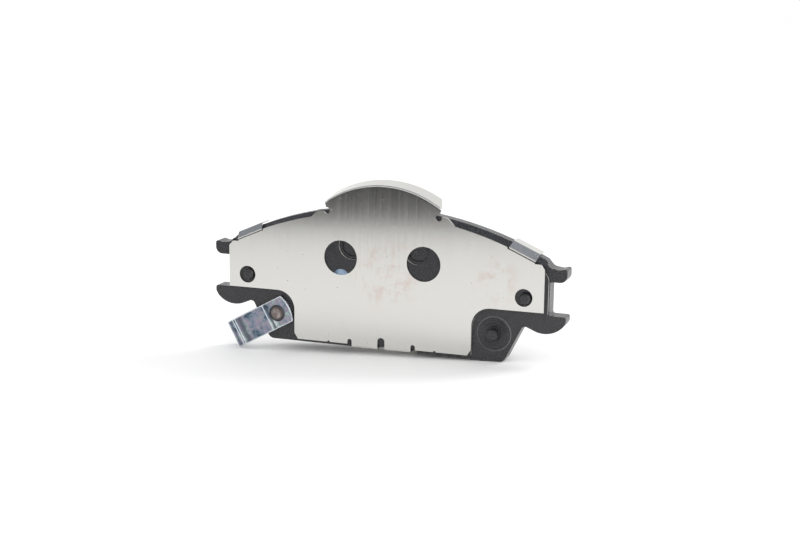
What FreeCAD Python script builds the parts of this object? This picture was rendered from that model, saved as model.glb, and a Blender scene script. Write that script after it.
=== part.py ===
import FreeCAD, Part
import os
import re

import Sketcher
from FreeCAD import Placement, Rotation, Vector

# A disc brake pad standing on its lower edge. +X runs along the pad, +Y from the caliper side
# towards the disc, +Z away from the axle. The origin lies on the outer shim's face, midway
# between the two locating pips and level with them.

SIZES = {
    # backing plate outline, half of it; drops are measured down from the pips
    "plate_thick": 6.5,
    "crown_radius": 132.7,
    "crown_drop": 104.3,
    "crown_end": 60.4,
    "crown_bevel_drop": 1.6,
    "crown_bevel_depth": 2.2,
    "crown_bevel_angle": 55.2,
    "ear_reach": 68.6,
    "ear_top": 11.7,
    "ear_dip": 11.0,
    "ear_dip_reach": 65.8,
    "ear_root_reach": 62.4,
    "ear_root": 11.5,
    "slot_reach": 62.4,
    "slot_top": 6.5,
    "slot_drop": 5.85,
    "low_ear_tip_drop": 7.9,
    "low_ear_belly_reach": 67.6,
    "low_ear_belly_drop": 9.6,
    "low_ear_start_reach": 57.0,
    "low_ear_start_drop": 11.8,
    "low_ear_radius": 9.3,
    "neck_reach": 53.1,
    "neck_drop": 10.2,
    "foot_reach": 46.05,
    "foot_drop": 24.5,
    "tab_rest_reach": 13.0,
    "tab_rest_rise": 0.8,
    "tight_round": 0.8,
    "middle_round": 1.5,
    "wide_round": 2.6,
    # features pressed into or through the plate
    "pip_reach": 54.0,
    "pip_radius": 1.95,
    "pip_rise": 2.6,
    "pip_round": 0.7,
    "press_depth": 2.0,
    "stud_reach": 42.4,
    "stud_drop": 14.2,
    "stud_radius": 1.95,
    "stud_rise": 3.0,
    "boss_radius": 6.3,
    "boss_rise": 0.4,
    "head_radius": 3.2,
    "head_crown_radius": 2.0,
    "head_rise": 0.8,
    "key_reach": 12.8,
    "key_height": 13.8,
    "key_radius": 4.0,
    # moulded block
    "film_thick": 0.1,
    "underlayer_thick": 2.0,
    "lining_thick": 8.0,
    "plug_recess": 0.3,
    "block_crown_radius": 130.0,
    "block_top_reach": 52.4,
    "block_foot_reach": 43.6,
    "block_foot_drop": 22.6,
    "block_round": 3.0,
    "underlayer_margin": 0.3,
    "bevel_length": 6.0,
    "bevel_depth": 3.0,
    "groove_width": 2.4,
    "groove_depth": 6.5,
    # inner shim
    "glue_thick": 0.1,
    "rubber_thick": 0.1,
    "core_thick": 0.5,
    "inner_reach": 62.1,
    "inner_shoulder": 11.0,
    "inner_shoulder_reach": 57.0,
    "inner_corner_height": 7.0,
    "inner_corner_radius": 4.6,
    "inner_crown_radius": 130.2,
    "inner_low_drop": 5.3,
    "inner_neck_reach": 34.0,
    "inner_neck_radius": 7.6,
    "inner_neck_drop": 12.9,
    "inner_foot_drop": 22.8,
    "inner_pip_hole": 2.5,
    "inner_window_radius": 5.1,
    # outer shim
    "shim_thick": 0.6,
    "shim_offset": 0.7,
    "shim_turn": 0.3,
    "shim_reach": 61.5,
    "shim_low_drop": 5.0,
    "shim_corner_drop": 10.8,
    "shim_shoulder_reach": 60.0,
    "shim_shoulder": 12.5,
    "shim_crown_radius": 131.2,
    "shim_neck_reach": 34.75,
    "shim_neck_radius": 7.0,
    "shim_neck_drop": 12.0,
    "shim_foot_drop": 23.2,
    "shim_foot_reach": 33.3,
    "shim_foot_rise": 2.2,
    "shim_pip_hole": 3.24,
    "window_reach": 16.2,
    "window_height": 9.25,
    "window_radius": 6.48,
    "horn_reach": 27.85,
    "horn_tip_reach": 25.2,
    "horn_tip_height": 26.7,
    "horn_inner_reach": 23.3,
    "horn_inner_height": 27.1,
    "relief_reach": 21.7,
    "relief_height": 26.6,
    "relief_radius": 1.2,
    "crescent_drop": 1.4,
    "crescent_radius": 38.6,
    "crescent_half_angle": 36.2,
    "flange_bend": 0.8,
    "flange_lean": 12.0,
    "flange_depth": 6.4,
    "flange_trim": 2.2,
    "clip_inner_reach": 48.7,
    "clip_outer_reach": 58.6,
    "clip_tilt": 23.9,
    "clip_depth": 8.6,
    "clip_root": 2.4,
    "clip_gap": 0.3,
    "clip_slope_gap": 0.35,
    "clip_bend": 0.6,
    "hook_inner_reach": 1.4,
    "hook_outer_reach": 11.6,
    "hook_depth": 6.5,
    "hook_gap": 0.1,
    "hook_bend": 0.3,
    "notch_radius": 1.4,
    "notch_rise": 3.4,
    "slit_reach": 12.45,
    "slit_radius": 0.85,
    "slit_rise": 1.9,
    "nick_reach": 20.9,
    "nick_radius": 0.5,
    # wear indicator
    "strip_thick": 1.2,
    "strip_width": 10.7,
    "strip_tilt": 29.2,
    "strip_hole_inset": 4.4,
    "strip_hole_radius": 2.05,
    "strip_end_bulge": 1.2,
    "strip_step_start": 7.2,
    "strip_step_run": 1.2,
    "strip_step_rise": 0.8,
    "strip_bend_start": 21.6,
    "strip_bend_radius": 5.2,
    "strip_tip_beyond_plate": 2.0,
}

STACK = "shim_thick + core_thick + 2 * rubber_thick + glue_thick"
BLOCK_FRONT = STACK + " + plate_thick"

doc = FreeCAD.newDocument("BrakePad")
sheet = doc.addObject("Spreadsheet::Sheet", "Sizes")
for line, (alias, number) in enumerate(SIZES.items(), start=1):
    sheet.set(f"A{line}", alias)
    sheet.set(f"B{line}", str(number))
    sheet.setAlias(f"B{line}", alias)
doc.recompute()


def bound(formula):
    """The formula with each size written as a reference to the sheet."""
    return re.sub(r"\b[a-z]\w*\b(?!\()", r"Sizes.\g<0>", formula)


def value(formula):
    return float(sheet.evalExpression(bound(formula)))


def new_body(label, front="0"):
    """A body whose own Y = 0 is its front face, placed at its depth in the pad."""
    body = doc.addObject("PartDesign::Body", label)
    body.Label = label
    body.setExpression("Placement.Base.y", bound(front))
    return body


def origin_plane(body, role):
    return next(item for item in body.Origin.OriginFeatures if item.Role == role)


def new_sketch(body, role, name, shift=("0", "0", "0"), turn=Rotation()):
    """A sketch on one of the body's own planes, shifted and turned within that plane's axes."""
    sketch = body.newObject("Sketcher::SketchObject", name)
    sketch.AttachmentSupport = [(origin_plane(body, role), "")]
    sketch.MapMode = "FlatFace"
    sketch.AttachmentOffset = Placement(Vector(*map(value, shift)), turn)
    for axis, formula in zip("xyz", shift):
        if formula != "0":
            sketch.setExpression(f"AttachmentOffset.Base.{axis}", bound(formula))
    return sketch


def fix_point(sketch, side, end, point):
    """Bind one end of a side to a pair of formulas."""
    for kind, formula in zip(("DistanceX", "DistanceY"), point):
        number = sketch.addConstraint(Sketcher.Constraint(kind, side, end, value(formula)))
        sketch.setExpression(f"Constraints[{number}]", bound(formula))


def fix_radius(sketch, side, formula):
    number = sketch.addConstraint(Sketcher.Constraint("Radius", side, value(formula)))
    sketch.setExpression(f"Constraints[{number}]", bound(formula))


def arc_between(start, end, radius):
    """The short arc of this radius from start to end; a negative radius turns clockwise."""
    chord = end - start
    left = Vector(-chord.y, chord.x, 0).normalize()
    rise = (radius**2 - (chord.Length / 2) ** 2) ** 0.5
    turn = 1 if radius > 0 else -1
    centre = (start + end) / 2 + left * rise * turn
    middle = centre - left * abs(radius) * turn
    return Part.Arc(start, middle, end)


def draw_outline(sketch, corners):
    """A closed outline. Each corner is (x, y) or (x, y, radius of the arc that leaves it)."""
    places = [Vector(value(corner[0]), value(corner[1]), 0) for corner in corners]
    for index, corner in enumerate(corners):
        start, end = places[index], places[(index + 1) % len(places)]
        if len(corner) == 2:
            side = sketch.addGeometry(Part.LineSegment(start, end), False)
            fix_point(sketch, side, 1, corner)
        else:
            radius = value(corner[2])
            side = sketch.addGeometry(arc_between(start, end, radius), False)
            # an arc always runs anticlockwise, so a clockwise one starts at its second end
            fix_point(sketch, side, 1 if radius > 0 else 2, corner[:2])
            fix_radius(sketch, side, f"abs({corner[2]})")
    for index, corner in enumerate(corners):
        following = (index + 1) % len(corners)
        leaving = 2 if len(corner) == 2 or value(corner[2]) > 0 else 1
        after = corners[following]
        entering = 1 if len(after) == 2 or value(after[2]) > 0 else 2
        joint = Sketcher.Constraint("Coincident", index, leaving, following, entering)
        sketch.addConstraint(joint)


def draw_circles(sketch, centres, radius):
    for centre in centres:
        place = Vector(value(centre[0]), value(centre[1]), 0)
        side = sketch.addGeometry(Part.Circle(place, Vector(0, 0, 1), value(radius)), False)
        fix_point(sketch, side, 3, centre)
        fix_radius(sketch, side, radius)


def mirrored(half):
    """Both halves of a symmetric outline, from the half on the +X side, bottom to top."""
    other = []
    for index, corner in enumerate(half):
        entry = [f"-({corner[0]})", corner[1]]
        before = half[index - 1] if index else None
        if before and len(before) == 3:
            entry.append(before[2])
        other.append(tuple(entry))
    return list(half) + other[::-1]


def both_sides(x, y):
    return [(x, y), (f"-({x})", y)]


def pad_back(body, sketch, name, length):
    """A plate that grows from its sketch towards +Y."""
    feature = body.newObject("PartDesign::Pad", name)
    feature.Profile = sketch
    feature.Reversed = True
    feature.setExpression("Length", bound(length))
    return feature


def plate_from(body, name, corners, thickness):
    sketch = new_sketch(body, "XZ_Plane", name + "_outline")
    draw_outline(sketch, corners)
    return pad_back(body, sketch, name, thickness)


def cut_through(body, sketch, name):
    feature = body.newObject("PartDesign::Pocket", name)
    feature.Profile = sketch
    feature.Type = "ThroughAll"
    feature.Midplane = True
    return feature


def holes(body, name, centres, radius):
    sketch = new_sketch(body, "XZ_Plane", name + "_circles")
    draw_circles(sketch, centres, radius)
    return cut_through(body, sketch, name)


def mirror(body, name, feature):
    """The same feature on the other side of the pad."""
    twin = body.newObject("PartDesign::Mirrored", name)
    twin.Originals = [feature]
    twin.MirrorPlane = (origin_plane(body, "YZ_Plane"), [""])
    body.Tip = twin
    return twin


def edges_along_depth(feature, points):
    """Names of the edges that run along Y through the given (x, z) formulas, on both sides."""
    doc.recompute()
    names = []
    for number, edge in enumerate(feature.Shape.Edges, start=1):
        first, last = edge.Vertexes[0].Point, edge.Vertexes[-1].Point
        if Vector(first.x - last.x, 0, first.z - last.z).Length > 1e-6 or edge.Length < 1e-6:
            continue
        for x, z in points:
            if abs(abs(first.x) - value(x)) < 1e-3 and abs(first.z - value(z)) < 1e-3:
                names.append(f"Edge{number}")
    return names


def round_edges(body, feature, name, points, radius):
    names = edges_along_depth(feature, points)
    if not names:
        raise ValueError(f"{name}: no edge found")
    rounded = body.newObject("PartDesign::Fillet", name)
    rounded.Base = (feature, names)
    rounded.setExpression("Radius", bound(radius))
    return rounded


def turned(body, name, x, z, profile):
    """A stud or pip turned about an axis along Y; the profile holds (radius, depth) pairs."""
    sketch = new_sketch(body, "XY_Plane", name + "_profile", ("0", "0", z))
    corners = [(f"{x} + {pair[0]}", pair[1], *pair[2:]) for pair in profile]
    draw_outline(sketch, corners)
    low, high = Vector(value(x), -10, 0), Vector(value(x), 10, 0)
    axis = sketch.addGeometry(Part.LineSegment(low, high), True)
    fix_point(sketch, axis, 1, (x, "-10"))
    fix_point(sketch, axis, 2, (x, "10"))
    feature = body.newObject("PartDesign::Revolution", name)
    feature.Profile = sketch
    feature.ReferenceAxis = (sketch, ["Axis0"])
    feature.Angle = 360
    return feature


def swept(body, kind, name, profile, axis_height, angle):
    """A (depth, height) profile turned evenly to both sides about an axis along Y."""
    sketch = new_sketch(body, "YZ_Plane", name + "_profile")
    draw_outline(sketch, profile)
    axis = sketch.addGeometry(
        Part.LineSegment(Vector(-5, value(axis_height), 0), Vector(5, value(axis_height), 0)), True
    )
    fix_point(sketch, axis, 1, ("-5", axis_height))
    fix_point(sketch, axis, 2, ("5", axis_height))
    feature = body.newObject(kind, name)
    feature.Profile = sketch
    feature.ReferenceAxis = (sketch, ["Axis0"])
    feature.Midplane = True
    feature.setExpression("Angle", bound(angle))
    return feature


def crown_height(radius, reach):
    return f"sqrt(({radius}) ^ 2 - ({reach}) ^ 2) - crown_drop"


def build_backing_plate():
    body = new_body("backing_plate", STACK)
    neck = ("neck_reach", "-neck_drop")
    foot = ("foot_reach", "-foot_drop")
    tip = ("ear_reach", "-low_ear_tip_drop")
    slot_low = ("slot_reach", "-slot_drop")
    slot_high = ("slot_reach", "slot_top")
    ear_low = ("ear_reach", "slot_top")
    ear_high = ("ear_reach", "ear_top")
    ear_root = ("ear_root_reach", "ear_root")
    half = [
        ("tab_rest_reach", "tab_rest_rise - foot_drop"),
        ("tab_rest_reach", "-foot_drop"),
        foot,
        neck,
        ("low_ear_start_reach", "-low_ear_start_drop", "low_ear_radius"),
        ("low_ear_belly_reach", "-low_ear_belly_drop"),
        tip,
        ("ear_reach", "-slot_drop"),
        slot_low,
        slot_high,
        ear_low,
        ear_high,
        ("ear_dip_reach", "ear_dip"),
        ear_root,
        ("crown_end", crown_height("crown_radius", "crown_end"), "crown_radius"),
    ]
    outline = mirrored(half)
    # the crown is one arc over the middle, so its mirrored end starts a straight side
    outline[len(half)] = outline[len(half)][:2]
    plate = plate_from(body, "blank", outline, "plate_thick")
    tight = [slot_low, slot_high, ("ear_reach", "-slot_drop"), ear_high]
    plate = round_edges(body, plate, "tight_corners", tight, "tight_round")
    plate = round_edges(body, plate, "neck_corners", [neck, tip], "middle_round")
    plate = round_edges(body, plate, "wide_corners", [foot, ear_low, ear_root], "wide_round")

    slope = "(crown_bevel_drop / crown_bevel_depth)"
    crown_bevel = [
        ("-1", f"crown_radius - crown_drop - crown_bevel_drop - {slope}"),
        ("crown_bevel_depth + 1", f"crown_radius - crown_drop + {slope}"),
        ("-1", f"crown_radius - crown_drop + {slope}"),
    ]
    swept(body, "PartDesign::Groove", "crown_bevel", crown_bevel, "-crown_drop", "crown_bevel_angle")

    holes(body, "key_holes", both_sides("key_reach", "key_height"), "key_radius")

    pressed = new_sketch(body, "XZ_Plane", "pressed_circles", ("0", "0", "-plate_thick"))
    draw_circles(pressed, both_sides("pip_reach", "0"), "pip_radius")
    draw_circles(pressed, both_sides("stud_reach", "-stud_drop"), "stud_radius")
    dents = body.newObject("PartDesign::Pocket", "pressed_dents")
    dents.Profile = pressed
    dents.Reversed = True
    dents.setExpression("Length", bound("press_depth"))

    bosses = new_sketch(body, "XZ_Plane", "boss_circles")
    draw_circles(bosses, both_sides("stud_reach", "-stud_drop"), "boss_radius")
    raised = body.newObject("PartDesign::Pad", "bosses")
    raised.Profile = bosses
    raised.setExpression("Length", bound("boss_rise"))

    pip = [
        ("0", "0.5"),
        ("pip_radius", "0.5"),
        ("pip_radius", "pip_round - pip_rise", "-pip_round"),
        ("pip_radius - pip_round", "-pip_rise"),
        ("0", "-pip_rise"),
    ]
    spare = [
        ("0", "0.5"),
        ("stud_radius", "0.5"),
        ("stud_radius", "-stud_rise"),
        ("0", "-stud_rise"),
    ]
    seat = "(-boss_rise - strip_thick)"
    swaged = [
        ("0", "0.5"),
        ("stud_radius", "0.5"),
        ("stud_radius", seat),
        ("head_radius", seat),
        ("head_crown_radius", f"{seat} - head_rise"),
        ("0", f"{seat} - head_rise"),
    ]
    turned(body, "right_pip", "pip_reach", "0", pip)
    turned(body, "left_pip", "-pip_reach", "0", pip)
    turned(body, "spare_stud", "stud_reach", "-stud_drop", spare)
    body.Tip = turned(body, "swaged_stud", "-stud_reach", "-stud_drop", swaged)
    return body


def block_outline(margin):
    half = [
        (f"block_foot_reach + {margin}", f"-block_foot_drop - {margin}"),
        (
            f"block_top_reach + {margin}",
            crown_height(f"block_crown_radius + {margin}", f"block_top_reach + {margin}"),
            f"block_crown_radius + {margin}",
        ),
    ]
    outline = mirrored(half)
    outline[2] = outline[2][:2]
    return outline


def block_layer(label, front, thickness, margin):
    body = new_body(label, front)
    outline = block_outline(margin)
    layer = plate_from(body, "layer", outline, thickness)
    corners = [corner[:2] for corner in outline[:2]]
    body.Tip = round_edges(body, layer, "layer_corners", corners, "block_round")
    return body


def build_bonding_film():
    body = block_layer("bonding_film", BLOCK_FRONT, "film_thick", "underlayer_margin")
    body.Tip = holes(body, "plug_holes", both_sides("key_reach", "key_height"), "key_radius")
    return body


def build_underlayer():
    front = BLOCK_FRONT + " + film_thick"
    body = block_layer("underlayer", front, "underlayer_thick", "underlayer_margin")
    sketch = new_sketch(body, "XZ_Plane", "plug_circles")
    draw_circles(sketch, both_sides("key_reach", "key_height"), "key_radius")
    plugs = body.newObject("PartDesign::Pad", "plugs")
    plugs.Profile = sketch
    plugs.setExpression("Length", bound("film_thick + plate_thick - plug_recess"))
    body.Tip = plugs
    return body


def build_friction_lining():
    front = BLOCK_FRONT + " + film_thick + underlayer_thick"
    body = block_layer("friction_lining", front, "lining_thick", "0")
    rise = f"({crown_height('block_crown_radius', 'block_top_reach')} + block_foot_drop)"
    lean = f"atan((block_top_reach - block_foot_reach) / {rise})"
    bevel = [
        ("-bevel_length", "lining_thick"),
        ("0", "lining_thick - bevel_depth"),
        ("5", "lining_thick - bevel_depth"),
        ("5", "lining_thick + 1"),
        ("-bevel_length", "lining_thick + 1"),
    ]
    tilt = Rotation(Vector(0, 1, 0), value(lean))
    foot = ("block_foot_reach", "0", "-block_foot_drop")
    sketch = new_sketch(body, "XY_Plane", "bevel_section", foot, tilt)
    draw_outline(sketch, bevel)
    right = cut_through(body, sketch, "right_bevel")
    body.Tip = mirror(body, "left_bevel", right)

    half, floor = "groove_width / 2", "lining_thick - groove_depth"
    sketch = new_sketch(body, "XY_Plane", "groove_section")
    draw_outline(
        sketch,
        [
            (f"-{half}", floor),
            (half, floor),
            (half, "lining_thick + 1"),
            (f"-{half}", "lining_thick + 1"),
        ],
    )
    body.Tip = cut_through(body, sketch, "groove")
    return body


def inner_outline():
    half = [
        ("inner_neck_reach", "-inner_foot_drop"),
        ("inner_neck_reach", "-inner_neck_drop", "-inner_neck_radius"),
        ("inner_neck_reach + inner_neck_radius", "-inner_low_drop"),
        ("inner_reach", "-inner_low_drop"),
        ("inner_reach", "inner_corner_height", "inner_corner_radius"),
        ("inner_shoulder_reach", "inner_shoulder"),
        (
            "inner_shoulder_reach - 1",
            crown_height("inner_crown_radius", "inner_shoulder_reach - 1"),
            "inner_crown_radius",
        ),
    ]
    outline = mirrored(half)
    outline[len(half)] = outline[len(half)][:2]
    return outline


def build_inner_layer(label, front, thickness):
    body = new_body(label, front)
    plate_from(body, "layer", inner_outline(), thickness)
    holes(body, "pip_holes", both_sides("pip_reach", "0"), "inner_pip_hole")
    windows = both_sides("key_reach", "key_height")
    body.Tip = holes(body, "windows", windows, "inner_window_radius")
    return body


def clip_root(reach):
    """The point of the flat face below one end of a side clip."""
    along, down = "sin(clip_tilt)", "cos(clip_tilt)"
    height = crown_height("crown_radius", reach)
    return (f"{reach} - clip_root * {along}", f"{height} - clip_root * {down}")


def shim_outline():
    """The flat face of the outer shim, from its centre notch up to the crescent."""
    crescent_end = "(crescent_radius - flange_bend)"
    horn_root = crown_height("shim_crown_radius", "horn_reach")
    crown_start = "(clip_inner_reach - clip_root / 2)"
    half = [
        ("shim_foot_reach", "-shim_foot_drop"),
        ("shim_neck_reach", "shim_foot_rise - shim_foot_drop"),
        ("shim_neck_reach", "-shim_neck_drop", "-shim_neck_radius"),
        ("shim_neck_reach + shim_neck_radius", "-shim_low_drop"),
        ("shim_reach", "-shim_low_drop"),
        ("shim_reach", "shim_corner_drop"),
        ("shim_shoulder_reach", "shim_shoulder"),
        clip_root("clip_outer_reach"),
        clip_root("clip_inner_reach"),
        (crown_start, crown_height("shim_crown_radius", crown_start), "shim_crown_radius"),
        ("horn_reach", horn_root),
        ("horn_tip_reach", "horn_tip_height"),
        ("horn_inner_reach", "horn_inner_height"),
        ("relief_reach", "relief_height"),
        (
            f"{crescent_end} * sin(crescent_half_angle)",
            f"{crescent_end} * cos(crescent_half_angle) - crescent_drop",
            crescent_end,
        ),
    ]
    outline = mirrored(half)
    outline[len(half)] = outline[len(half)][:2]
    return outline


def flange_section():
    """Depth and height of the crescent flange, which leans a little outwards."""
    lean = "flange_lean"
    inner = "(flange_bend - shim_thick)"
    axis = "crescent_radius - flange_bend - crescent_drop"
    run = f"(flange_depth - flange_bend + flange_bend * sin({lean})) / cos({lean})"
    outer_end = (f"flange_bend - flange_bend * sin({lean})", f"{axis} + flange_bend * cos({lean})")
    inner_end = (f"flange_bend - {inner} * sin({lean})", f"{axis} + {inner} * cos({lean})")
    return [
        ("0", f"{axis} - 2"),
        ("0", axis, "-flange_bend"),
        outer_end,
        (f"{outer_end[0]} + {run} * cos({lean})", f"{outer_end[1]} + {run} * sin({lean})"),
        (f"{inner_end[0]} + {run} * cos({lean})", f"{inner_end[1]} + {run} * sin({lean})"),
        (*inner_end, inner),
        ("shim_thick", axis),
        ("shim_thick", f"{axis} - 2"),
    ]


def clip_section():
    """Depth and height, above the plate's crown, of a side clip: up the bevel and over the top."""
    slope = "atan(crown_bevel_drop / crown_bevel_depth)"
    along, up, steepness = f"cos({slope})", f"sin({slope})", f"tan({slope})"
    turn_at_foot = f"((1 - {up}) / {along})"
    turn_at_top = f"tan({slope} / 2)"

    # heights at which the outer and inner sloping faces would cross the front and back of the sheet
    outer_foot = (
        f"((clip_slope_gap + shim_thick) / {along} - crown_bevel_drop - ({STACK}) * {steepness})"
    )
    inner_foot = f"({outer_foot} + shim_thick * {steepness} - shim_thick / {along})"
    top = "(clip_gap + shim_thick)"
    outer_top = f"(({top} - {outer_foot}) / {steepness})"
    inner_top = f"((clip_gap - {inner_foot}) / {steepness} + shim_thick)"

    outer_radius = "(clip_bend + shim_thick)"
    outer_low, outer_high = f"({outer_radius} * {turn_at_foot})", f"({outer_radius} * {turn_at_top})"
    inner_low, inner_high = f"(clip_bend * {turn_at_foot})", f"(clip_bend * {turn_at_top})"
    return [
        ("0", "-clip_root - 1"),
        ("0", f"{outer_foot} - {outer_low}", f"-{outer_radius}"),
        (f"{outer_low} * {along}", f"{outer_foot} + {outer_low} * {up}"),
        (f"{outer_top} - {outer_high} * {along}", f"{top} - {outer_high} * {up}", f"-{outer_radius}"),
        (f"{outer_top} + {outer_high}", top),
        ("clip_depth", top),
        ("clip_depth", "clip_gap"),
        (f"{inner_top} + {inner_high}", "clip_gap", "clip_bend"),
        (f"{inner_top} - {inner_high} * {along}", f"clip_gap - {inner_high} * {up}"),
        (f"shim_thick + {inner_low} * {along}", f"{inner_foot} + {inner_low} * {up}", "clip_bend"),
        ("shim_thick", f"{inner_foot} - {inner_low}"),
        ("shim_thick", "-clip_root - 1"),
    ]


def hook_section():
    """Depth and height of a bottom tab, which folds under the plate's lower edge."""
    under = "(tab_rest_rise - foot_drop - hook_gap)"
    outer_radius = "(hook_bend + shim_thick)"
    return [
        ("0", f"{under} + 2"),
        ("0", f"{under} - shim_thick + {outer_radius}", outer_radius),
        (outer_radius, f"{under} - shim_thick"),
        ("hook_depth", f"{under} - shim_thick"),
        ("hook_depth", under),
        (outer_radius, under, "-hook_bend"),
        ("shim_thick", f"{under} + hook_bend"),
        ("shim_thick", f"{under} + 2"),
    ]


def notch_outline(reach, radius, rise):
    """A round-topped notch in the lower edge."""
    top = f"{rise} - {radius} - shim_foot_drop"
    return [
        (f"{reach} - {radius}", "-shim_foot_drop - 3"),
        (f"{reach} + {radius}", "-shim_foot_drop - 3"),
        (f"{reach} + {radius}", top, radius),
        (reach, f"{top} + {radius}", radius),
        (f"{reach} - {radius}", top),
    ]


def build_outer_shim():
    body = new_body("outer_shim")
    # it floats on its pips, so it sits a little to one side and a little turned
    body.Placement = Placement(Vector(), Rotation(Vector(0, -1, 0), value("shim_turn")))
    body.setExpression("Placement.Base.x", bound("-shim_offset"))
    body.setExpression("Placement.Rotation.Angle", bound("shim_turn"))
    plate_from(body, "face", shim_outline(), "shim_thick")
    flange = flange_section()
    swept(
        body, "PartDesign::Revolution", "flange", flange, "-crescent_drop", "2 * crescent_half_angle"
    )

    end = "(crescent_radius * sin(crescent_half_angle))"
    sketch = new_sketch(body, "XY_Plane", "flange_trim", ("0", "0", "relief_height"))
    draw_outline(
        sketch,
        [
            (end, "flange_bend"),
            (f"{end} + 3", "flange_bend"),
            (f"{end} + 3", "flange_depth + 1"),
            (f"{end} - flange_trim", "flange_depth + 1"),
        ],
    )
    trim = body.newObject("PartDesign::Pocket", "right_trim")
    trim.Profile = sketch
    trim.Reversed = True
    trim.setExpression("Length", bound("crescent_radius"))
    mirror(body, "left_trim", trim)

    corner = ("0", crown_height("crown_radius", "clip_inner_reach"), "clip_inner_reach")
    tilt = Rotation(Vector(1, 0, 0), value("clip_tilt"))
    sketch = new_sketch(body, "YZ_Plane", "clip_section", corner, tilt)
    draw_outline(sketch, clip_section())
    clip = body.newObject("PartDesign::Pad", "right_clip")
    clip.Profile = sketch
    width = "(clip_outer_reach - clip_inner_reach) / cos(clip_tilt)"
    clip.setExpression("Length", bound(width))
    mirror(body, "left_clip", clip)

    sketch = new_sketch(body, "YZ_Plane", "hook_section", ("0", "0", "hook_inner_reach"))
    draw_outline(sketch, hook_section())
    hook = body.newObject("PartDesign::Pad", "right_hook")
    hook.Profile = sketch
    hook.setExpression("Length", bound("hook_outer_reach - hook_inner_reach"))
    mirror(body, "left_hook", hook)

    notches = {
        "centre_notch": ("0", "notch_radius", "notch_rise"),
        "right_slit": ("slit_reach", "slit_radius", "slit_rise"),
        "left_slit": ("-slit_reach", "slit_radius", "slit_rise"),
    }
    for name, sizes in notches.items():
        sketch = new_sketch(body, "XZ_Plane", name + "_outline")
        draw_outline(sketch, notch_outline(*sizes))
        cut_through(body, sketch, name)
    holes(body, "nicks", both_sides("nick_reach", "-shim_foot_drop"), "nick_radius")
    holes(body, "reliefs", both_sides("relief_reach", "relief_height"), "relief_radius")
    holes(body, "pip_holes", both_sides("pip_reach", "0"), "shim_pip_hole")
    windows = both_sides("window_reach", "window_height")
    body.Tip = holes(body, "windows", windows, "window_radius")
    return body


def strip_section():
    """Distance from the inner end, and depth, of the bent strip."""
    seat = "-boss_rise"
    step_end = "strip_step_start + strip_step_run"
    raised = f"({seat} - strip_step_rise)"
    outer_radius = "strip_bend_radius"
    inner_radius = "(strip_bend_radius - strip_thick)"
    tail = "(strip_bend_start + strip_bend_radius)"
    tip = "plate_thick + strip_tip_beyond_plate"
    bend_depth = f"({raised} - strip_thick + strip_bend_radius)"
    shift = "strip_thick / 3"
    return [
        ("-strip_end_bulge", f"{seat} - strip_thick"),
        ("strip_step_start", f"{seat} - strip_thick"),
        (step_end, f"{raised} - strip_thick"),
        ("strip_bend_start", f"{raised} - strip_thick", outer_radius),
        (tail, bend_depth),
        (tail, tip),
        (f"{tail} - strip_thick", tip),
        (f"{tail} - strip_thick", bend_depth, f"-{inner_radius}"),
        ("strip_bend_start", raised),
        (f"{step_end} + {shift}", raised),
        (f"strip_step_start + {shift}", seat),
        ("-strip_end_bulge", seat),
    ]


def build_wear_indicator():
    body = new_body("wear_indicator", STACK)
    end_x = "(strip_hole_inset * cos(strip_tilt) - stud_reach)"
    end_z = "(strip_hole_inset * sin(strip_tilt) - stud_drop)"
    turn = Rotation(Vector(0, 1, 0), 180 - value("strip_tilt"))
    sketch = new_sketch(body, "XY_Plane", "strip_section", (end_x, "0", end_z), turn)
    draw_outline(sketch, strip_section())
    strip = body.newObject("PartDesign::Pad", "strip")
    strip.Profile = sketch
    strip.Midplane = True
    strip.setExpression("Length", bound("strip_width"))

    face_end = (end_x, end_z, "0")
    face_turn = Rotation(Vector(0, 0, 1), 180 + value("strip_tilt"))
    half, bulge = "strip_width / 2", "strip_end_bulge"
    arc = f"((({half}) ^ 2 + {bulge} ^ 2) / (2 * {bulge}))"
    sketch = new_sketch(body, "XZ_Plane", "end_outline", face_end, face_turn)
    draw_outline(
        sketch,
        [
            ("0", f"-{half} - 1"),
            ("0", f"-{half}", f"-{arc}"),
            ("0", half),
            ("0", f"{half} + 1"),
            ("-3", f"{half} + 1"),
            ("-3", f"-{half} - 1"),
        ],
    )
    cut_through(body, sketch, "round_end")
    sketch = new_sketch(body, "XZ_Plane", "hole_circle", face_end, face_turn)
    draw_circles(sketch, [("strip_hole_inset", "0")], "strip_hole_radius")
    body.Tip = cut_through(body, sketch, "rivet_hole")
    return body


def failed_objects():
    bad = []
    for item in doc.Objects:
        if "Invalid" in item.State or "Error" in item.State:
            bad.append(f"{item.Name} ({item.Label}): {item.State}")
    return bad


def main():
    core_front = "shim_thick + rubber_thick"
    back_rubber_front = core_front + " + core_thick"
    bodies = [
        build_backing_plate(),
        build_bonding_film(),
        build_underlayer(),
        build_friction_lining(),
        build_inner_layer("inner_shim_front_rubber", "shim_thick", "rubber_thick"),
        build_inner_layer("inner_shim_core", core_front, "core_thick"),
        build_inner_layer("inner_shim_back_rubber", back_rubber_front, "rubber_thick"),
        build_inner_layer("shim_adhesive", back_rubber_front + " + rubber_thick", "glue_thick"),
        build_outer_shim(),
        build_wear_indicator(),
    ]
    doc.recompute()
    failed = failed_objects()
    if failed:
        raise RuntimeError("; ".join(failed))
    os.makedirs("parts", exist_ok=True)
    for body in bodies:
        shape = body.Shape
        if shape.isNull() or not shape.isValid() or len(shape.Solids) != 1:
            raise RuntimeError(f"{body.Label} is not one valid solid")
        shape.exportStep(f"parts/{body.Label}.step")
        box = shape.BoundBox
        print(f"{body.Label:26s} {shape.Volume:9.1f} mm3  X {box.XMin:.2f} {box.XMax:.2f}"
              f"  Y {box.YMin:.2f} {box.YMax:.2f}  Z {box.ZMin:.2f} {box.ZMax:.2f}")


main()
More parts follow.
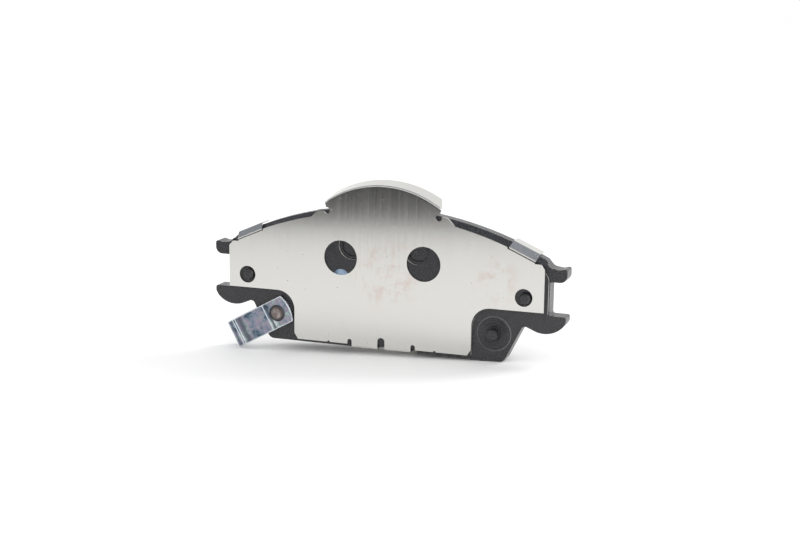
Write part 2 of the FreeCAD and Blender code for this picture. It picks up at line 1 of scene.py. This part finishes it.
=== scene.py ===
import math
import bmesh
import bpy
from mathutils import Matrix, Vector


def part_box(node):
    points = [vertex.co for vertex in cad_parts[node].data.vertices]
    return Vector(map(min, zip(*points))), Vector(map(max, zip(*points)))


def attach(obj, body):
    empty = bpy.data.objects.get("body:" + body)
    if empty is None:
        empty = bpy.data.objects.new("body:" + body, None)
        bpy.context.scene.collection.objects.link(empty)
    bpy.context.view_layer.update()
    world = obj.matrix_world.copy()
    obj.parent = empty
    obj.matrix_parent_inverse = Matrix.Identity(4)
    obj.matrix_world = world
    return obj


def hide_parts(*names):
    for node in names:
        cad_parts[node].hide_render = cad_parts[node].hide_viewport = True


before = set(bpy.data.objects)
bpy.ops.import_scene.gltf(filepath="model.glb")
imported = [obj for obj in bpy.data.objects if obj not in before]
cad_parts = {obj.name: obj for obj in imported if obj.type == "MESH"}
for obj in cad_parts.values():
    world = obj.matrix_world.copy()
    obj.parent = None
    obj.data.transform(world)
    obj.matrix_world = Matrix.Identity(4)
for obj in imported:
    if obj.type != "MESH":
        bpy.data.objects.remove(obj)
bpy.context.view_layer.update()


# ---------------------------------------------------------------------------------------------
# Backing plate: a 6.5 mm steel blanking with two pairs of ears, powder coated black all over.
# The blanking die rolls its front edge over and leaves the back edge sharper. Pips and studs are
# half pierced from the plate, and each stud stands on a coined boss that keeps the tool's rings.
# ---------------------------------------------------------------------------------------------
mm = 0.001
plate_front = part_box("shim_adhesive")[1].y
plate_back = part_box("backing_plate")[1].y
stud_centre = Vector((42.4 * mm, 0, -14.2 * mm))
boss_radius = 6.3 * mm
boss_face = plate_front - 0.4 * mm
key_hole = Vector((12.8 * mm, 0, 13.8 * mm))
ear_end = 66 * mm
ear_corner_radius = 1.5 * mm
plate_rounding_width = 0.8 * mm


def add(tree, kind, inputs=(), **settings):
    """A node with its settings, whose inputs are plain values or other nodes' outputs."""
    node = tree.nodes.new(kind)
    for name, setting in settings.items():
        setattr(node, name, setting)
    for socket, value in dict(inputs).items():
        if isinstance(value, bpy.types.NodeSocket):
            tree.links.new(value, node.inputs[socket])
        else:
            node.inputs[socket].default_value = value
    return node


def start_material(name, **plain):
    """A material with its shader, object coordinates, and the values that are even all over."""
    material = bpy.data.materials.new(name)
    material.use_nodes = True
    tree = material.node_tree
    shader = tree.nodes["Principled BSDF"]
    for socket, value in plain.items():
        shader.inputs[socket.replace("_", " ")].default_value = value
    place = add(tree, "ShaderNodeTexCoord").outputs["Object"]
    return material, tree, shader, place


def blend(tree, mask, low, high):
    """One colour where the mask is 0, the other where it is 1."""
    mix = add(tree, "ShaderNodeMix", data_type="RGBA")
    for socket, value in zip((0, 6, 7), (mask, low, high)):
        if isinstance(value, bpy.types.NodeSocket):
            tree.links.new(value, mix.inputs[socket])
        else:
            mix.inputs[socket].default_value = value if socket == 0 else (*value, 1)
    return mix.outputs[2]


def ramp(tree, value, low, high, to_low=0.0, to_high=1.0):
    """The value spread from low..high over to_low..to_high, and no further."""
    inputs = {"Value": value, "From Min": low, "From Max": high, "To Min": to_low, "To Max": to_high}
    return add(tree, "ShaderNodeMapRange", inputs, interpolation_type="SMOOTHSTEP").outputs[0]


def maths(tree, operation, a, b=0.0):
    return add(tree, "ShaderNodeMath", {0: a, 1: b}, operation=operation).outputs[0]


def near(tree, place, centre, inner, outer):
    """1 within the inner distance of a point, falling to 0 at the outer distance."""
    apart = add(tree, "ShaderNodeVectorMath", {0: place, 1: centre}, operation="DISTANCE")
    return ramp(tree, apart.outputs["Value"], outer, inner)


def bump(tree, shader, height, distance, strength=1.0):
    inputs = {"Height": height, "Distance": distance, "Strength": strength}
    normal = add(tree, "ShaderNodeBump", inputs).outputs["Normal"]
    tree.links.new(normal, shader.inputs["Normal"])


def new_group(name, inputs, outputs):
    """An empty shader node group with named number inputs, a Vector input and named outputs."""
    group = bpy.data.node_groups.new(name, "ShaderNodeTree")
    group.interface.new_socket("Vector", in_out="INPUT", socket_type="NodeSocketVector")
    for label, value in inputs.items():
        socket = group.interface.new_socket(label, in_out="INPUT", socket_type="NodeSocketFloat")
        socket.default_value = value
    for label in outputs:
        group.interface.new_socket(label, in_out="OUTPUT", socket_type="NodeSocketFloat")
    return group, group.nodes.new("NodeGroupInput").outputs, group.nodes.new("NodeGroupOutput").inputs


# grain: a fine uneven surface with scattered specks, sized in specks per metre
grain, given, result = new_group("grain", {"Scale": 2000.0, "Specks": 0.62}, ("Height", "Specks"))
broad = add(grain, "ShaderNodeTexNoise", {"Vector": given["Vector"], "Scale": given["Scale"],
                                          "Detail": 3.0, "Roughness": 0.6})
tripled = maths(grain, "MULTIPLY", given["Scale"], 3.0)
fine = add(grain, "ShaderNodeTexNoise", {"Vector": given["Vector"], "Scale": tripled,
                                         "Detail": 2.0, "Roughness": 0.5})
both = maths(grain, "ADD", broad.outputs["Fac"], maths(grain, "MULTIPLY", fine.outputs["Fac"], 0.4))
grain.links.new(both, result["Height"])
above = maths(grain, "SUBTRACT", fine.outputs["Fac"], given["Specks"])
grain.links.new(ramp(grain, above, 0.0, 0.05), result["Specks"])


def grained(tree, place, scale, specks=0.62):
    node = add(tree, "ShaderNodeGroup", node_tree=grain)
    tree.links.new(place, node.inputs["Vector"])
    node.inputs["Scale"].default_value = scale
    node.inputs["Specks"].default_value = specks
    return node.outputs["Height"], node.outputs["Specks"]


def powder_coat():
    material, tree, shader, place = start_material("powder_coat", IOR=1.52)
    peel, painted_glints = grained(tree, place, 1700.0, 0.61)
    patches = add(tree, "ShaderNodeTexNoise", {"Vector": place, "Scale": 90.0, "Detail": 4.0})
    colour = blend(tree, patches.outputs["Fac"], (0.012, 0.012, 0.014), (0.030, 0.030, 0.033))
    # pale pin pricks are painted on the coat as highlights, standing in for glints of light on its grain
    colour = blend(tree, maths(tree, "MULTIPLY", painted_glints, 0.28), colour, (0.26, 0.26, 0.28))
    # a pale ring is painted on the spare boss's rim as a highlight, standing in for light caught on its
    # raised edge
    flat = add(tree, "ShaderNodeVectorMath", {0: place, 1: (1, 0, 1)}, operation="MULTIPLY").outputs[0]
    away = add(tree, "ShaderNodeVectorMath", {0: flat, 1: stud_centre}, operation="DISTANCE")
    away = away.outputs["Value"]
    painted_rim_highlight = ramp(tree, maths(tree, "ABSOLUTE", maths(tree, "SUBTRACT", away, boss_radius)), 0.3 * mm, 0.0)
    colour = blend(tree, maths(tree, "MULTIPLY", painted_rim_highlight, 0.5), colour, (0.24, 0.24, 0.26))
    tree.links.new(colour, shader.inputs["Base Color"])
    tree.links.new(ramp(tree, peel, 0.4, 1.0, 0.18, 0.36), shader.inputs["Roughness"])
    # the torn half of the blanked edge is rougher than the plate's faces
    facing = add(tree, "ShaderNodeNewGeometry").outputs["True Normal"]
    across = add(tree, "ShaderNodeSeparateXYZ", {0: facing}).outputs["Y"]
    side = ramp(tree, maths(tree, "ABSOLUTE", across), 0.9, 0.5)
    torn, _ = grained(tree, place, 700.0)
    height = maths(tree, "ADD", peel, maths(tree, "MULTIPLY", torn, maths(tree, "MULTIPLY", side, 1.6)))
    # fine turned lines run round the spare boss, between the heavier ones
    turned = maths(tree, "SINE", maths(tree, "MULTIPLY", away, math.tau / (0.55 * mm)))
    on_boss = ramp(tree, away, boss_radius, boss_radius - 0.3 * mm)
    turned = maths(tree, "MULTIPLY", turned, maths(tree, "MULTIPLY", on_boss, 0.5))
    height = maths(tree, "ADD", height, turned)
    bump(tree, shader, height, 0.00009)
    return material


def bare_swage():
    """Where the punch spread the stud, its coat is gone and the steel is warm grey."""
    material, tree, shader, place = start_material("bare_swage", Metallic=1.0, Roughness=0.42)
    height, specks = grained(tree, place, 1600.0)
    colour = blend(tree, ramp(tree, height, 0.4, 1.0), (0.20, 0.16, 0.15), (0.42, 0.36, 0.34))
    colour = blend(tree, specks, colour, (0.10, 0.07, 0.06))
    # painted highlight and painted shade: the dish is painted brightest to one side, where light falls
    # in it, and dark at its rim, where shade falls
    middle = Vector((-stud_centre.x, -1.5 * mm, stud_centre.z))
    painted_highlight_spot = near(tree, place, middle + Vector((0.8, 0, -0.7)) * mm, 0.3 * mm, 1.5 * mm)
    colour = blend(tree, maths(tree, "MULTIPLY", painted_highlight_spot, 0.8), colour, (0.72, 0.64, 0.61))
    painted_dish_shade = near(tree, place, middle, 1.4 * mm, 2.8 * mm)
    colour = blend(tree, painted_dish_shade, (0.09, 0.085, 0.09), colour)
    tree.links.new(colour, shader.inputs["Base Color"])
    bump(tree, shader, height, 0.00012)
    return material


def welded_copy(node):
    """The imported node's shape, welded, with its flat faces whole again."""
    shape = bmesh.new()
    shape.from_mesh(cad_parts[node].data)
    bmesh.ops.remove_doubles(shape, verts=shape.verts, dist=1e-6)
    flat = math.radians(0.5)
    bmesh.ops.dissolve_limit(shape, angle_limit=flat, verts=shape.verts, edges=shape.edges)
    return shape


def make_piece(shape, name, body, slot, *materials):
    mesh = bpy.data.meshes.new(name)
    shape.to_mesh(mesh)
    shape.free()
    mesh.shade_smooth()
    for material in materials:
        mesh.materials.append(material)
    piece = bpy.data.objects.new(name, mesh)
    bpy.context.scene.collection.objects.link(piece)
    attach(piece, body)
    return piece


def soften_edges(piece, width, segments=3, weighted=False):
    rounding = piece.modifiers.new("softened_edges", "BEVEL")
    rounding.width = width
    rounding.segments = segments
    rounding.limit_method = "WEIGHT" if weighted else "ANGLE"
    rounding.angle_limit = math.radians(35)
    rounding.use_clamp_overlap = True
    # large flat faces keep their own direction, and only the rounded strips turn
    flats = piece.modifiers.new("flat_faces", "WEIGHTED_NORMAL")
    flats.mode = "FACE_AREA"
    flats.weight = 100
    flats.keep_sharp = True


def weigh_edges(shape, weight_of):
    """Sets how strongly each edge is rounded, for edges that turn by more than 35 degrees."""
    weights = shape.edges.layers.float.new("bevel_weight_edge")
    for edge in shape.edges:
        if edge.calc_face_angle(0) > math.radians(35):
            edge[weights] = weight_of((edge.verts[0].co + edge.verts[1].co) / 2)


def plate_rounding(middle):
    """The ears' tips are rolled over most, the rest of the front edge less, the back edge least."""
    if abs(middle.x) > ear_end and middle.y < plate_back - 0.5 * mm:
        return 1.0
    return 0.7 if abs(middle.y - plate_front) < 0.02 * mm else 0.2


plate = welded_copy("backing_plate")
# the ears' corners are well rounded
tips = [edge for edge in plate.edges
        if min(abs(vert.co.x) for vert in edge.verts) > ear_end - 0.5 * mm
        and abs(edge.verts[0].co.y - edge.verts[1].co.y) > 3 * mm
        and edge.calc_face_angle(0) > math.radians(35)]
bmesh.ops.bevel(plate, geom=tips, offset=ear_corner_radius, segments=6, profile=0.5, affect="EDGES",
                clamp_overlap=True)
weigh_edges(plate, plate_rounding)
head = Vector((-stud_centre.x, 0, stud_centre.z))
for face in plate.faces:
    middle = face.calc_center_median()
    reach = Vector((middle.x - head.x, 0, middle.z - head.z)).length
    if middle.y < -0.19 * mm and reach < boss_radius:
        face.material_index = 1
# the punch leaves the head dished: how far inwards and how far down each ring of the dish goes
dished = min(plate.faces, key=lambda face: face.calc_center_median().y
             + abs(face.calc_center_median().x - head.x))
for inwards, down in ((0.25, 0.0), (0.3, 0.14), (0.35, 0.16), (0.4, 0.12), (0.4, 0.06), (0.4, 0.02)):
    bmesh.ops.inset_individual(plate, faces=[dished], thickness=inwards * mm, depth=-down * mm)
coat = powder_coat()
plate_piece = make_piece(plate, "plate_blanking", "pad", "powder_coat", coat, bare_swage())
soften_edges(plate_piece, plate_rounding_width, weighted=True)
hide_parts("backing_plate")


def tool_rings(name, slot, centre, face, start, pitch, rises):
    """Low round ribs, one inside the other, standing on a flat face."""
    rings = bmesh.new()
    reach = centre.x + start
    sunk = face + 0.05 * mm
    points = [Vector((reach, sunk, centre.z))]
    for rise in rises:
        points.append(Vector((reach, face - rise * mm, centre.z)))
        reach += pitch / 2
    points.append(Vector((reach - pitch / 2, sunk, centre.z)))
    corners = [rings.verts.new(point) for point in points]
    for one, other in zip(corners, corners[1:] + corners[:1]):
        rings.edges.new((one, other))
    bmesh.ops.spin(rings, geom=rings.verts[:] + rings.edges[:], cent=centre, axis=(0, 1, 0),
                   angle=math.tau, steps=96, use_merge=True)
    bmesh.ops.recalc_face_normals(rings, faces=rings.faces)
    make_piece(rings, name, "pad", slot, coat)


tool_rings("coined_rings", "powder_coat", stud_centre, boss_face, 2.5 * mm, 0.5 * mm,
           (0.0, 0.05, 0.01, 0.08, 0.0, 0.03, 0.01, 0.09, 0.02, 0.05, 0.0, 0.10, 0.02, 0.06))


# ---------------------------------------------------------------------------------------------
# Moulded block: a film of cured adhesive, a brown insulating underlayer that plugs into the
# plate's holes, and the ground friction lining with its fibres, graphite and metal flecks.
# ---------------------------------------------------------------------------------------------
def cured_resin():
    material, tree, shader, place = start_material("cured_resin", Roughness=0.5)
    height, _ = grained(tree, place, 900.0)
    colour = blend(tree, ramp(tree, height, 0.4, 1.0), (0.09, 0.05, 0.02), (0.20, 0.13, 0.06))
    tree.links.new(colour, shader.inputs["Base Color"])
    bump(tree, shader, height, 0.00005)
    return material


def friction_mix(name, base, pale):
    """Pressed friction mix: a dull ground colour with fibres, brass chips and black graphite."""
    material, tree, shader, place = start_material(name)
    height, _ = grained(tree, place, 1100.0, 0.6)
    cloud = add(tree, "ShaderNodeTexNoise", {"Vector": place, "Scale": 260.0, "Detail": 6.0})
    colour = blend(tree, cloud.outputs["Fac"], base, pale)
    chips = add(tree, "ShaderNodeTexVoronoi", {"Vector": place, "Scale": 700.0, "Randomness": 1.0})
    size = add(tree, "ShaderNodeSeparateColor", {0: chips.outputs["Color"]})
    shown = maths(tree, "MULTIPLY", ramp(tree, chips.outputs["Distance"], 0.34, 0.24),
                  ramp(tree, size.outputs[0], 0.86, 0.90))
    brass = maths(tree, "MULTIPLY", shown, ramp(tree, size.outputs[1], 0.5, 0.52))
    colour = blend(tree, shown, colour, (0.24, 0.23, 0.22))
    colour = blend(tree, brass, colour, (0.32, 0.21, 0.09))
    _, soot = grained(tree, place, 520.0, 0.58)
    colour = blend(tree, maths(tree, "MULTIPLY", soot, 0.7), colour, (0.012, 0.012, 0.013))
    tree.links.new(colour, shader.inputs["Base Color"])
    tree.links.new(maths(tree, "MULTIPLY", shown, 0.8), shader.inputs["Metallic"])
    tree.links.new(ramp(tree, shown, 0.0, 1.0, 0.88, 0.4), shader.inputs["Roughness"])
    bump(tree, shader, maths(tree, "SUBTRACT", height, maths(tree, "MULTIPLY", soot, 0.8)), 0.00012)
    return material


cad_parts["bonding_film"].data.materials[0] = cured_resin()

underlayer = welded_copy("underlayer")
# the plugs' ends were painted together with the plate
for face in underlayer.faces:
    if face.calc_center_median().y < plate_back - 0.5 * mm:
        face.material_index = 1
underlayer_mix = friction_mix("underlayer_mix", (0.10, 0.075, 0.055), (0.20, 0.16, 0.12))
underlayer_piece = make_piece(underlayer, "insulating_underlayer", "pad", "underlayer_mix",
                              underlayer_mix, coat)
soften_edges(underlayer_piece, 0.25 * mm)
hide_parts("underlayer")
# low rings lie on the plugs' ends too
plug_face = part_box("underlayer")[0].y
for side, name in ((1, "right_plug_rings"), (-1, "left_plug_rings")):
    tool_rings(name, "underlayer_mix", Vector((side * key_hole.x, 0, key_hole.z)), plug_face, 0.6 * mm,
               0.6 * mm, (0.0, 0.06, 0.0, 0.04, 0.0, 0.07, 0.0, 0.05, 0.0, 0.06, 0.0))

lining = welded_copy("friction_lining")
lining_piece = make_piece(lining, "ground_lining", "pad", "friction_mix",
                          friction_mix("friction_mix", (0.055, 0.052, 0.05), (0.13, 0.125, 0.12)))
soften_edges(lining_piece, 0.3 * mm)
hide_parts("friction_lining")


# ---------------------------------------------------------------------------------------------
# Inner shim: cold-rolled steel coated with nitrile rubber on both sides and stuck to the plate.
# Its cut edge shows a pale line of steel. A dab of blue-grey paint, taken for an inspection
# mark, is on its front.
# ---------------------------------------------------------------------------------------------
def black_rubber():
    material, tree, shader, place = start_material("black_rubber", IOR=1.5)
    height, specks = grained(tree, place, 900.0, 0.68)
    colour = blend(tree, ramp(tree, height, 0.4, 1.0), (0.012, 0.012, 0.014), (0.026, 0.026, 0.030))
    colour = blend(tree, maths(tree, "MULTIPLY", specks, 0.3), colour, (0.25, 0.26, 0.28))
    tree.links.new(colour, shader.inputs["Base Color"])
    tree.links.new(ramp(tree, height, 0.4, 1.0, 0.24, 0.38), shader.inputs["Roughness"])
    bump(tree, shader, height, 0.00002)
    return material


def cut_steel():
    material, tree, shader, place = start_material("cut_steel", Metallic=0.25, Roughness=0.5)
    height, _ = grained(tree, place, 2500.0)
    colour = blend(tree, ramp(tree, height, 0.4, 1.0), (0.62, 0.62, 0.60), (0.85, 0.84, 0.81))
    tree.links.new(colour, shader.inputs["Base Color"])
    bump(tree, shader, height, 0.00003)
    return material


def tacky_adhesive():
    material, tree, shader, place = start_material("tacky_adhesive", Roughness=0.45)
    height, _ = grained(tree, place, 1500.0)
    colour = blend(tree, ramp(tree, height, 0.4, 1.0), (0.36, 0.32, 0.22), (0.56, 0.51, 0.38))
    tree.links.new(colour, shader.inputs["Base Color"])
    bump(tree, shader, height, 0.00003)
    return material


rubber = black_rubber()
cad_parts["inner_shim_front_rubber"].data.materials[0] = rubber
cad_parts["inner_shim_back_rubber"].data.materials[0] = rubber
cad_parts["inner_shim_core"].data.materials[0] = cut_steel()
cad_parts["shim_adhesive"].data.materials[0] = tacky_adhesive()


def paint_dab():
    material, tree, shader, place = start_material("paint_dab", Roughness=0.35)
    height, _ = grained(tree, place, 500.0)
    colour = blend(tree, ramp(tree, height, 0.4, 1.0), (0.09, 0.16, 0.27), (0.30, 0.40, 0.52))
    tree.links.new(colour, shader.inputs["Base Color"])
    bump(tree, shader, height, 0.00006)
    return material


rubber_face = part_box("inner_shim_front_rubber")[0].y
dab_radius = 3.2 * mm
dab_centre = Vector((-16.9 * mm, rubber_face - 0.03 * mm, 1.6 * mm))
dab = bmesh.new()
bmesh.ops.create_circle(dab, cap_ends=True, segments=40, radius=dab_radius)
upright = Matrix.Translation(dab_centre)
bmesh.ops.transform(dab, matrix=upright @ Matrix.Rotation(math.radians(90), 4, "X"), verts=dab.verts)
body = bmesh.ops.extrude_face_region(dab, geom=dab.faces[:])
moved = [item for item in body["geom"] if isinstance(item, bmesh.types.BMVert)]
bmesh.ops.translate(dab, vec=(0, 0.04 * mm, 0), verts=moved)
bmesh.ops.recalc_face_normals(dab, faces=dab.faces)
make_piece(dab, "inspection_paint", "pad", "black_rubber", paint_dab())


# ---------------------------------------------------------------------------------------------
# Outer shim: 0.6 mm stainless sheet, blanked and folded. It hooks under the plate's lower edge,
# its two side clips snap over the crown, and the crescent carries a rolled flange.
# It lifts straight off, so it rides on its own body.
# ---------------------------------------------------------------------------------------------
def stainless_sheet():
    material, tree, shader, place = start_material("stainless_sheet", Metallic=1.0)
    # rolling leaves faint upright lines
    stretched = add(tree, "ShaderNodeMapping", {"Vector": place, "Scale": (1500.0, 200.0, 18.0)})
    lines = add(tree, "ShaderNodeTexNoise", {"Vector": stretched.outputs[0], "Scale": 1.0,
                                             "Detail": 4.0, "Roughness": 0.6}).outputs["Fac"]
    colour = blend(tree, lines, (0.645, 0.635, 0.605), (0.665, 0.66, 0.635))
    # faint warm stains lie on the middle of the face and towards its right edge
    cloud = add(tree, "ShaderNodeTexNoise", {"Vector": place, "Scale": 170.0, "Detail": 8.0,
                                             "Roughness": 0.75}).outputs["Fac"]
    touched = maths(tree, "MAXIMUM", near(tree, place, (0.001, 0, 0.005), 0.005, 0.018),
                    near(tree, place, (0.043, 0, 0.006), 0.002, 0.012))
    stain = maths(tree, "MULTIPLY", touched, ramp(tree, cloud, 0.47, 0.62))
    colour = blend(tree, maths(tree, "MULTIPLY", stain, 0.8), colour, (0.60, 0.50, 0.46))
    # small rough specks stand out where the sheet mirrors something dark
    _, specks = grained(tree, place, 380.0, 0.69)
    tree.links.new(colour, shader.inputs["Base Color"])
    rough = ramp(tree, lines, 0.3, 0.7, 0.13, 0.16)
    rough = maths(tree, "ADD", rough, maths(tree, "MULTIPLY", specks, 0.35))
    tree.links.new(rough, shader.inputs["Roughness"])
    bump(tree, shader, lines, 0.0000015)
    return material


shim = welded_copy("outer_shim")
shim_piece = make_piece(shim, "stainless_shim", "shim", "stainless_sheet", stainless_sheet())
soften_edges(shim_piece, 0.09 * mm)
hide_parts("outer_shim")


# ---------------------------------------------------------------------------------------------
# Wear indicator: a strip of zinc-plated spring steel, swaged onto the left stud. It bends back
# round the plate's lower corner and squeals on the disc when the lining is worn down.
# ---------------------------------------------------------------------------------------------
strip_lean = math.radians(29.2)
outwards = Vector((-math.cos(strip_lean), 0, -math.sin(strip_lean)))
sideways = Vector((math.sin(strip_lean), 0, -math.cos(strip_lean)))
end_curve_centre = head + 6.9 * mm * outwards


def zinc_plate():
    material, tree, shader, place = start_material("zinc_plate", Metallic=1.0)
    height, specks = grained(tree, place, 700.0, 0.64)
    cloud = add(tree, "ShaderNodeTexNoise", {"Vector": place, "Scale": 190.0, "Detail": 6.0,
                                             "Roughness": 0.65})
    tint = add(tree, "ShaderNodeValToRGB", {"Fac": cloud.outputs["Fac"]})
    stops = tint.color_ramp.elements
    stops[0].position, stops[0].color = 0.38, (0.06, 0.085, 0.12, 1)
    stops[1].position, stops[1].color = 0.66, (0.58, 0.62, 0.66, 1)
    for position, shade in ((0.46, (0.20, 0.26, 0.32, 1)), (0.52, (0.33, 0.27, 0.35, 1)),
                            (0.58, (0.27, 0.37, 0.36, 1))):
        stop = stops.new(position)
        stop.color = shade
    colour = blend(tree, maths(tree, "MULTIPLY", specks, 0.6), tint.outputs["Color"], (0.07, 0.07, 0.08))
    # painted reflections and painted shade: dark and bright bands are painted across the strip, beside
    # its step and at its outer bend, where the bent sheet mirrors dark and bright
    apart = add(tree, "ShaderNodeVectorMath", {0: place, 1: head}, operation="SUBTRACT").outputs[0]
    run = add(tree, "ShaderNodeVectorMath", {0: apart, 1: outwards}, operation="DOT_PRODUCT")
    for middle, width, shade in ((3.2, 0.5, (0.07, 0.08, 0.10)), (4.1, 0.35, (0.75, 0.79, 0.84)),
                                 (15.2, 1.8, (0.09, 0.10, 0.13)), (17.1, 0.35, (0.80, 0.85, 0.90)),
                                 (18.1, 0.35, (0.80, 0.85, 0.90)), (19.6, 0.9, (0.10, 0.11, 0.15))):
        away = maths(tree, "ABSOLUTE", maths(tree, "SUBTRACT", run.outputs["Value"], middle * mm))
        painted_band = ramp(tree, away, width * mm, 0.15 * width * mm)
        colour = blend(tree, maths(tree, "MULTIPLY", painted_band, 0.85), colour, shade)
    # painted highlights: both long edges and the curved inner end are painted bright, where their
    # rounded edges catch the light
    across = add(tree, "ShaderNodeVectorMath", {0: apart, 1: sideways}, operation="DOT_PRODUCT")
    across = maths(tree, "ABSOLUTE", across.outputs["Value"])
    to_end = add(tree, "ShaderNodeVectorMath", {0: place, 1: end_curve_centre}, operation="DISTANCE")
    inner_end = maths(tree, "MULTIPLY", ramp(tree, to_end.outputs["Value"], 11.8 * mm, 12.2 * mm),
                      ramp(tree, run.outputs["Value"], 2 * mm, 0.0))
    painted_edge_highlight = maths(tree, "MAXIMUM", ramp(tree, across, 4.85 * mm, 5.1 * mm), inner_end)
    colour = blend(tree, maths(tree, "MULTIPLY", painted_edge_highlight, 0.7), colour, (0.84, 0.88, 0.92))
    tree.links.new(colour, shader.inputs["Base Color"])
    tree.links.new(ramp(tree, height, 0.4, 1.0, 0.16, 0.30), shader.inputs["Roughness"])
    bump(tree, shader, maths(tree, "ADD", height, cloud.outputs["Fac"]), 0.00005)
    return material


strip = welded_copy("wear_indicator")
strip_piece = make_piece(strip, "zinc_strip", "pad", "zinc_plate", zinc_plate())
soften_edges(strip_piece, 0.18 * mm)
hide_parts("wear_indicator")


# ---------------------------------------------------------------------------------------------
# Stage: a pale floor that the pad stands on by the indicator's tip and its right-hand foot,
# a plain pale surround, soft lights, and dark and grey cards that only reflections see.
# ---------------------------------------------------------------------------------------------
def plain(name, colour, roughness):
    material = bpy.data.materials.new(name)
    material.use_nodes = True
    shader = material.node_tree.nodes["Principled BSDF"]
    shader.inputs["Base Color"].default_value = (*colour, 1)
    shader.inputs["Roughness"].default_value = roughness
    return material


def flat_sheet(name, size, place, material):
    shape = bmesh.new()
    bmesh.ops.create_grid(shape, x_segments=1, y_segments=1, size=0.5)
    bmesh.ops.transform(shape, matrix=place @ Matrix.Diagonal((*size, 1, 1)), verts=shape.verts)
    mesh = bpy.data.meshes.new(name)
    shape.to_mesh(mesh)
    shape.free()
    mesh.materials.append(material)
    sheet = bpy.data.objects.new(name, mesh)
    bpy.context.scene.collection.objects.link(sheet)
    return sheet


foot = Vector((46.0 * mm, 4.5 * mm, -24.55 * mm))
floor_tilt = max(math.atan2(foot.z - vert.co.z, foot.x - vert.co.x)
                 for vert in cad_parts["wear_indicator"].data.vertices)
level = Matrix.Translation(foot) @ Matrix.Rotation(-floor_tilt, 4, "Y")
flat_sheet("floor", (8.0, 8.0), level, plain("pale_floor", (0.95, 0.95, 0.95), 0.7))
dark = plain("dark_card", (0.015, 0.015, 0.016), 0.9)
lying = level @ Matrix.Translation((0, -1.13, 0.002))
standing = level @ Matrix.Translation((0, -1.9, 0.5)) @ Matrix.Rotation(math.radians(90), 4, "X")
hung = level @ Matrix.Translation((-0.7, 0.25, 1.4))
for card in (flat_sheet("dark_card", (3.0, 1.70), lying, dark),
             flat_sheet("dark_wall", (4.0, 1.0), standing, dark),
             flat_sheet("grey_ceiling", (3.2, 1.8), hung, plain("grey_card", (0.28, 0.30, 0.34), 0.9))):
    card.visible_camera = False
    card.visible_shadow = False
    card.visible_diffuse = False

world = bpy.data.worlds.new("studio")
bpy.context.scene.world = world
world.use_nodes = True
world.node_tree.nodes["Background"].inputs["Color"].default_value = (1.0, 1.0, 1.0, 1)
world.node_tree.nodes["Background"].inputs["Strength"].default_value = 1.05


def soft_light(name, place, size, power):
    lamp = bpy.data.lights.new(name, "AREA")
    lamp.shape = "DISK"
    lamp.size = size
    lamp.energy = power
    light = bpy.data.objects.new(name, lamp)
    light.location = place
    light.rotation_euler = (-Vector(place)).to_track_quat("-Z", "Y").to_euler()
    bpy.context.scene.collection.objects.link(light)
    return light


soft_light("behind_right", (0.75, 0.7, 0.8), 0.5, 6.0)
soft_light("front_right", (0.9, -0.9, 0.6), 0.6, 3.0)

azimuth, elevation, roll = math.radians(19.4), math.radians(11.5), math.radians(0.96)
distance = 0.575
target = Vector((6.42 * mm, 0, 7.80 * mm))
back = Vector((math.sin(azimuth) * math.cos(elevation), -math.cos(azimuth) * math.cos(elevation),
               math.sin(elevation)))
lens = bpy.data.cameras.new("camera")
lens.sensor_fit = "HORIZONTAL"
lens.sensor_width = 36.0
lens.lens = 70.9
lens.clip_start = 0.01
camera = bpy.data.objects.new("camera", lens)
aim = (-back).to_track_quat("-Z", "Y").to_matrix().to_4x4()
camera.matrix_world = Matrix.Translation(target + back * distance) @ aim @ Matrix.Rotation(roll, 4, "Z")
bpy.context.scene.collection.objects.link(camera)
bpy.context.scene.camera = camera
bpy.context.scene.view_settings.view_transform = "Standard"
